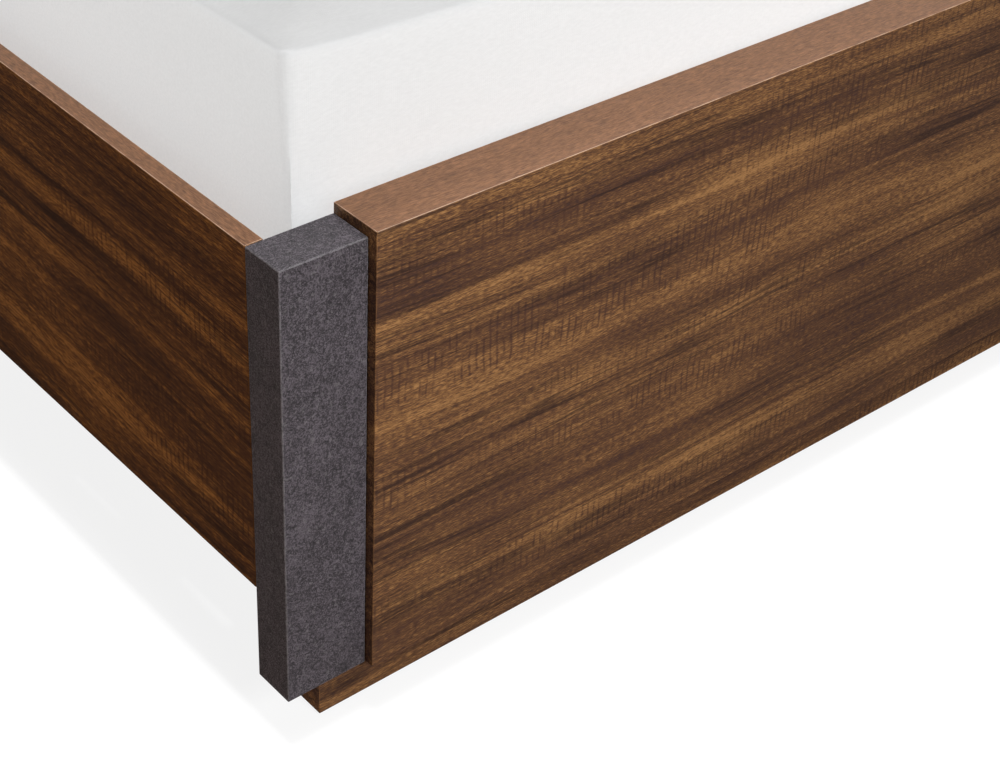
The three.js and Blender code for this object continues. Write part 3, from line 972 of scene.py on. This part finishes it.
def bracket_screws(node):
    """The angle's four screws as (middle of the head's face, the way it points): two on each leg."""
    low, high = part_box(node)
    middle = (low + high) / 2
    inner = -facing(middle.x)
    inward = -facing(middle.y)
    corner = Vector((low.x if inner > 0 else high.x, low.y if inward > 0 else high.y, middle.z))
    along = (high.x - low.x + SHEET) / 2
    proud = SHEET + BRACKET_HEAD
    spots = []
    for rise in (-1, 1):
        z = middle.z + rise * (high.z - low.z) / 3
        on_post = Vector((corner.x + inner * along, corner.y + inward * proud, z))
        on_rail = Vector((corner.x + inner * proud, corner.y + inward * along, z))
        spots.append((on_post, Vector((0, inward, 0))))
        spots.append((on_rail, Vector((inner, 0, 0))))
    return spots


def hanger_screws(node):
    """Two screws through each cheek of the hanger, into the sides of the beam."""
    low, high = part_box(node)
    spots = []
    y = (low.y + high.y) / 2
    for row in HANGER_ROWS:
        z = low.z + (high.z - low.z) * row
        spots.append((Vector((low.x, y, z)), Vector((-1, 0, 0))))
        spots.append((Vector((high.x, y, z)), Vector((1, 0, 0))))
    return spots


def drawer_screws(side):
    """Screws through each drawer side into the back, and into the front above and below the runner."""
    spots = []
    for end in ENDS:
        low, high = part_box(f"drawer_side_{side}_{end}")
        back_low, back_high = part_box(f"drawer_back_{side}")
        outward = Vector((0, -1 if end == "foot" else 1, 0))
        y = low.y if end == "foot" else high.y
        front = low.x if side == "left" else high.x
        inner = 1 if side == "left" else -1
        for x in ((back_low.x + back_high.x) / 2, front + inner * DRAWER_FRONT):
            for z in (low.z + DRAWER_EDGE, high.z - DRAWER_EDGE):
                spots.append((Vector((x, y, z)), outward))
    return spots


def add_screws(name, spots, radius, body):
    """One piece of separate screw heads, each with a domed top and a six-sided socket."""
    bm = bmesh.new()
    for centre, way in spots:
        add_head(bm, centre, way, radius)
    piece = finish_mesh(bm, name, ["zinc"])
    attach(piece, body)


# A screw head's height and its socket's radius, as shares of its own radius.
HEAD_HEIGHT = 0.42
SOCKET = 0.42


def add_head(bm, centre, way, radius):
    """A screw head whose flat underside is at the centre and whose dome points the way given."""
    height = radius * HEAD_HEIGHT
    new = bmesh.new()
    bmesh.ops.create_cone(
        new,
        cap_ends=True,
        segments=24,
        radius1=radius,
        radius2=radius,
        depth=height,
        matrix=Matrix.Translation((0, 0, height / 2)),
    )
    rim = [e for e in new.edges if all(v.co.z > height * 0.9 for v in e.verts)]
    bevel_edges(new, rim, height * 0.7, 3)
    top = max(new.faces, key=lambda face: face.calc_center_median().z)
    bmesh.ops.inset_region(new, faces=[top], thickness=radius * 0.12)
    ring = sorted(top.verts, key=lambda v: math.atan2(v.co.y, v.co.x))
    for i, vert in enumerate(ring):
        turn = math.tau * i / len(ring)
        flat = math.cos(math.pi / 6) / math.cos(turn % (math.pi / 3) - math.pi / 6)
        vert.co.x, vert.co.y = (radius * SOCKET * flat * f(turn) for f in (math.cos, math.sin))
    sunk = bmesh.ops.extrude_discrete_faces(new, faces=[top])["faces"]
    bmesh.ops.translate(new, vec=(0, 0, -height * 0.6), verts=sunk[0].verts[:])
    turned = Matrix.Translation(centre) @ way.to_track_quat("Z", "Y").to_matrix().to_4x4()
    bmesh.ops.transform(new, matrix=turned, verts=new.verts[:])
    for face in new.faces:
        face.smooth = len(face.verts) == 4
    mesh = bpy.data.meshes.new("head")
    new.to_mesh(mesh)
    new.free()
    bm.from_mesh(mesh)
    bpy.data.meshes.remove(mesh)


class BED_OT_mattress(bpy.types.Operator):
    """Fill the mattress as cloth under pressure"""

    bl_idname = "bed.mattress"
    bl_label = "Mattress"

    def execute(self, context):
        mattress = context.scene.platform_bed.mattress
        low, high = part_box("mattress")
        piece = finish_mesh(mattress_form(low, high, mattress), "mattress_cover", ["cotton"])
        fill(piece, mattress)
        settle(piece, low, high, mattress.dip)
        ease_surface(piece, low)
        mark_edge_shade(piece)
        piece.modifiers.new("finer", "SUBSURF").levels = 1
        piece.modifiers["finer"].render_levels = 1
        stand_for(piece, "mattress")
        return {"FINISHED"}


def mattress_form(low, high, mattress):
    """A box with rounded edges and corners, cut into even cells, a little smaller than the mattress.

    It starts on the slats, as its underside stays there while it fills.
    """
    low = low + Vector((mattress.slack / 2, mattress.slack / 2, 0.0))
    high = high - Vector((mattress.slack / 2, mattress.slack / 2, mattress.slack))
    size = high - low
    bm = bmesh.new()
    bmesh.ops.create_cube(bm, size=1.0)
    bmesh.ops.scale(bm, vec=size, verts=bm.verts[:])
    bmesh.ops.translate(bm, vec=(low + high) / 2, verts=bm.verts[:])
    upright = [e for e in bm.edges if abs((e.verts[0].co - e.verts[1].co).z) > size.z / 2]
    bevel_edges(bm, upright, mattress.corner, 4)
    rims = [
        e
        for e in bm.edges
        if abs((e.verts[0].co - e.verts[1].co).z) < MM and any(abs(f.normal.z) > 0.9 for f in e.link_faces)
    ]
    bevel_edges(bm, rims, mattress.edge, 3)
    for axis in (X, Y, Z):
        count = round(size[axis] / mattress.cell)
        normal = Vector((0, 0, 0))
        normal[axis] = 1.0
        for i in range(1, count):
            point = Vector((0, 0, 0))
            point[axis] = low[axis] + size[axis] * i / count
            everything = bm.verts[:] + bm.edges[:] + bm.faces[:]
            bmesh.ops.bisect_plane(bm, geom=everything, plane_co=point, plane_no=normal, dist=0.5 * MM)
    for face in bm.faces:
        face.smooth = True
    return bm


FILL_STEPS = 20


def fill(piece, mattress):
    """Blows the form up as cloth, held where it lies on the slats, and caps how far each point moves."""
    scene = bpy.context.scene
    start = [v.co.copy() for v in piece.data.vertices]
    floor = min(co.z for co in start)
    held = piece.vertex_groups.new(name="held")
    held.add([i for i, co in enumerate(start) if co.z < floor + 2 * MM], 1.0, "REPLACE")
    cloth = piece.modifiers.new("fill", "CLOTH")
    cloth.settings.quality = 5
    cloth.settings.vertex_group_mass = "held"
    cloth.settings.use_pressure = True
    cloth.settings.uniform_pressure_force = mattress.pressure
    cloth.settings.effector_weights.gravity = 0.0
    cloth.collision_settings.use_collision = False
    cloth.point_cache.frame_start = 1
    cloth.point_cache.frame_end = FILL_STEPS
    for step in range(1, FILL_STEPS + 1):
        scene.frame_set(step)
    shaped = piece.evaluated_get(bpy.context.evaluated_depsgraph_get())
    moved = [v.co.copy() for v in shaped.data.vertices]
    piece.modifiers.remove(cloth)
    piece.vertex_groups.remove(held)
    scene.frame_set(1)
    for vert, before, after in zip(piece.data.vertices, start, moved):
        way = after - before
        if way.length > 0:
            vert.co = before + way.normalized() * mattress.swell * math.tanh(way.length / mattress.swell)


# How much an upright corner counts as a turn of the cover, beside a level edge, and so how much painted shade
# it takes.
UPRIGHT_EDGE_SHADE = 0.25


def mark_edge_shade(piece):
    """Each point keeps how far the cover turns there: 0 on a flat side, 1 half-way round a level edge; this
    sets the painted shade on the cover's colour.
    """
    turn = piece.data.attributes.new("turn", "FLOAT", "POINT")
    sharpest = math.sqrt(0.5)
    for i, vert in enumerate(piece.data.vertices):
        flat = max(abs(part) for part in vert.normal)
        level = min(abs(vert.normal.z) / sharpest, 1.0)
        turned = min((1.0 - flat) / (1.0 - sharpest), 1.0)
        turn.data[i].value = turned * (UPRIGHT_EDGE_SHADE + (1.0 - UPRIGHT_EDGE_SHADE) * level)


# The upper edges drop within this distance of a corner, and over this width of the top.
DIP_LENGTH = 0.17
DIP_WIDTH = 0.26


def settle(piece, low, high, dip):
    """Lets the upper edges drop away from the corners, and leaves the middle crowned."""
    middle = (low + high) / 2
    reach = (high - low) / 2
    for vert in piece.data.vertices:
        inward = [reach[axis] - abs(vert.co[axis] - middle[axis]) for axis in (X, Y)]
        near, far = max(min(inward), 0.0), max(*inward, 0.0)
        along = 1.0 - math.exp(-far / DIP_LENGTH)
        across = math.exp(-((near / DIP_WIDTH) ** 2))
        rise = max((vert.co.z - middle.z) / reach.z, 0.0)
        vert.co.z -= dip * along * across * rise


# The cover's unevenness: its depth, its swells in a metre, and how far above the slats it starts.
UNEVEN_DEPTH = 0.9 * MM
UNEVEN_SWELLS = 5.0
UNEVEN_START = 20 * MM


def ease_surface(piece, low):
    """Leaves faint unevenness in the cover, and none where it lies flat on the slats."""
    for vert in piece.data.vertices:
        if vert.co.z > low.z + UNEVEN_START:
            way = noise.fractal(vert.co * UNEVEN_SWELLS, 1.0, 2.0, 3)
            vert.co += vert.normal * way * UNEVEN_DEPTH


class BED_OT_stage(bpy.types.Operator):
    """Set the camera, the floor and the lights"""

    bl_idname = "bed.stage"
    bl_label = "Stage"

    def execute(self, context):
        stage = context.scene.platform_bed.stage
        corner = add_camera(context, stage)
        add_floor(stage)
        add_lights(stage, corner)
        add_surroundings(context, stage)
        context.scene.view_settings.view_transform = "Standard"
        return {"FINISHED"}


# The camera stands this many post heights from the top front outer corner of the left foot post.
CAMERA_REACH = Vector((-1.5947, -2.3164, 1.8187))


def add_camera(context, stage):
    low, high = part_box("foot_post_left")
    corner = Vector((low.x, low.y, high.z))
    data = bpy.data.cameras.new("camera")
    data.lens = stage.lens
    data.sensor_width = 36.0
    data.clip_end = 200.0
    camera = bpy.data.objects.new("camera", data)
    context.scene.collection.objects.link(camera)
    back = Vector(
        (
            math.sin(stage.azimuth) * math.cos(stage.elevation),
            -math.cos(stage.azimuth) * math.cos(stage.elevation),
            math.sin(stage.elevation),
        )
    )
    aim = back.to_track_quat("Z", "Y").to_matrix().to_4x4()
    place_at = Matrix.Translation(corner + CAMERA_REACH * (high.z - low.z))
    camera.matrix_world = place_at @ aim @ Matrix.Rotation(stage.roll, 4, "Z")
    context.scene.camera = camera
    return corner


FLOOR_COLOUR = (0.86, 0.86, 0.86, 1.0)
FLOOR_GLOW = 0.86


def add_floor(stage):
    """A floor that looks almost white, keeps soft shadows, and throws only a little light back."""
    bm = bmesh.new()
    bmesh.ops.create_grid(bm, x_segments=1, y_segments=1, size=stage.floor / 2)
    mesh = bpy.data.meshes.new("floor")
    bm.to_mesh(mesh)
    bm.free()
    floor = bpy.data.objects.new("floor", mesh)
    bpy.context.scene.collection.objects.link(floor)
    made = bpy.data.materials.new("pale_floor")
    made.use_nodes = True
    tree = made.node_tree
    tree.nodes.clear()
    seen = put(tree, "ShaderNodeLightPath").outputs["Is Camera Ray"]
    shade = blend_colours(tree, seen, rgba(stage.bounce), FLOOR_COLOUR)
    matte = put(tree, "ShaderNodeBsdfDiffuse", {"Color": shade})
    glow = put(tree, "ShaderNodeEmission", {"Color": (1.0, 1.0, 1.0, 1.0), "Strength": 1.0})
    whiten = times(tree, seen, FLOOR_GLOW)
    mix = put(tree, "ShaderNodeMixShader", {0: whiten, 1: matte.outputs[0], 2: glow.outputs[0]})
    output = tree.nodes.new("ShaderNodeOutputMaterial")
    tree.links.new(mix.outputs[0], output.inputs["Surface"])
    mesh.materials.append(made)


def add_lamp(name, kind, energy, at, back):
    """A light at a point, with the way back from what it faces."""
    light = bpy.data.lights.new(name, kind)
    light.energy = energy
    lamp = bpy.data.objects.new(name, light)
    bpy.context.scene.collection.objects.link(lamp)
    lamp.matrix_world = Matrix.Translation(at) @ back.to_track_quat("Z", "Y").to_matrix().to_4x4()
    return lamp


def add_area(name, at, target, size, energy):
    lamp = add_lamp(name, "AREA", energy, at, at - target)
    lamp.data.shape = "SQUARE"
    lamp.data.size = size
    lamp.visible_camera = False
    return lamp


def add_lights(stage, corner):
    """Each light has its name, its place and the point it faces from the corner, its size and its power."""
    lights = (
        ("key_light", (0.2, -2.9, 1.7), (0.02, 0.0, -0.2), 0.9, stage.key),
        ("top_light", (0.9, 0.6, 3.4), (0.5, 0.5, 0.0), 3.0, stage.top),
        ("rim_light", (3.2, 3.6, 3.5), (0.2, 0.3, 0.0), 3.2, stage.rim),
        ("back_light", (0.8, 6.6, 1.2), (0.8, 2.2, 0.1), 3.0, stage.back),
        ("side_light", (-4.5, 2.0, 1.2), (0.0, 1.0, -0.1), 2.5, stage.side),
        ("low_light", (-1.1, 0.05, -0.3), (0.0, 0.1, -0.15), 0.45, stage.low),
    )
    for name, at, target, size, energy in lights:
        lamp = add_area(name, corner + Vector(at), corner + Vector(target), size, energy)
        left_out = ("mattress_cover", "floor") if name == "low_light" else ("mattress_cover",)
        light_only(lamp, False, *left_out)
        if name == "key_light":
            lamp.data.spread = stage.beam
        if name in ("side_light", "low_light"):
            lamp.data.color = stage.glow
            lamp.visible_glossy = False
    add_floor_light(stage)
    covers = (
        ("cover_front_light", (1.6, -4.0, 1.2), (0.6, 0.0, 0.1), 2.6, stage.cover_front),
        ("cover_side_light", (-4.0, 0.8, 1.6), (0.0, 0.6, 0.1), 2.6, stage.cover_side),
        ("cover_top_light", (0.8, 1.1, 4.0), (0.8, 1.1, 0.0), 3.0, stage.cover_top),
    )
    for name, at, target, size, energy in covers:
        lamp = add_area(name, corner + Vector(at), corner + Vector(target), size, energy)
        light_only(lamp, True, "mattress_cover")
        lamp.light_linking.blocker_collection = lamp.light_linking.receiver_collection


# The floor's light comes from this way, a hair off straight above.
OVERHEAD_FROM = Vector((0.010, 0.017, 1.0))


def add_floor_light(stage):
    """Light from straight above that whitens the floor alone, all round the bed's own shadow."""
    lamp = add_lamp("floor_light", "SUN", stage.overhead, Vector((0, 0, 0)), OVERHEAD_FROM)
    lamp.data.angle = stage.softness
    lamp.data.cycles.max_bounces = 0
    light_only(lamp, True, "floor")


def light_only(lamp, wanted, *pieces):
    """The lamp lights these pieces alone, or everything but these pieces."""
    lit = bpy.data.collections.new(f"{lamp.name}_lit")
    for piece in pieces:
        lit.objects.link(bpy.data.objects[piece])
    lamp.light_linking.receiver_collection = lit
    for member in lit.collection_objects:
        member.light_linking.link_state = "INCLUDE" if wanted else "EXCLUDE"


def add_surroundings(context, stage):
    world = bpy.data.worlds.new("surroundings")
    world.use_nodes = True
    tree = world.node_tree
    tree.nodes.clear()
    seen = put(tree, "ShaderNodeLightPath").outputs["Is Camera Ray"]
    tint = blend_colours(tree, seen, rgba(stage.warmth), (1.0, 1.0, 1.0, 1.0))
    strength = weigh(tree, seen, 1.0 - stage.fill, stage.fill)
    glow = put(tree, "ShaderNodeBackground", {"Color": tint, "Strength": strength})
    output = tree.nodes.new("ShaderNodeOutputWorld")
    tree.links.new(glow.outputs[0], output.inputs["Surface"])
    context.scene.world = world


class BED_PT_panel(bpy.types.Panel):
    """Lists the bed's operators and settings"""

    bl_idname = "BED_PT_panel"
    bl_label = "Platform bed"
    bl_space_type = "VIEW_3D"
    bl_region_type = "UI"
    bl_category = "Platform bed"

    def draw(self, context):
        for step in STEPS:
            self.layout.operator(step.bl_idname)
        bed = context.scene.platform_bed
        for part in bed.bl_rna.properties.keys():
            if part in ("rna_type", "name"):
                continue
            box = self.layout.box()
            box.label(text=bed.bl_rna.properties[part].name)
            values = getattr(bed, part)
            for name in values.bl_rna.properties.keys():
                if name not in ("rna_type", "name"):
                    box.prop(values, name)


STEPS = (
    BED_OT_posts,
    BED_OT_panels,
    BED_OT_rails,
    BED_OT_base,
    BED_OT_drawers,
    BED_OT_fittings,
    BED_OT_screws,
    BED_OT_mattress,
    BED_OT_stage,
)
CLASSES = (
    WalnutSettings,
    SlateSettings,
    BaseSettings,
    MattressSettings,
    StageSettings,
    BedSettings,
    *STEPS,
    BED_PT_panel,
)


def register():
    for item in CLASSES:
        bpy.utils.register_class(item)
    bpy.types.Scene.platform_bed = bpy.props.PointerProperty(type=BedSettings)


def unregister():
    del bpy.types.Scene.platform_bed
    for item in reversed(CLASSES):
        bpy.utils.unregister_class(item)


def main():
    register()
    bpy.ops.bed.posts()
    bpy.ops.bed.panels()
    bpy.ops.bed.rails()
    bpy.ops.bed.base()
    bpy.ops.bed.drawers()
    bpy.ops.bed.fittings()
    bpy.ops.bed.screws()
    bpy.ops.bed.mattress()
    bpy.ops.bed.stage()


if __name__ == "__main__":
    main()
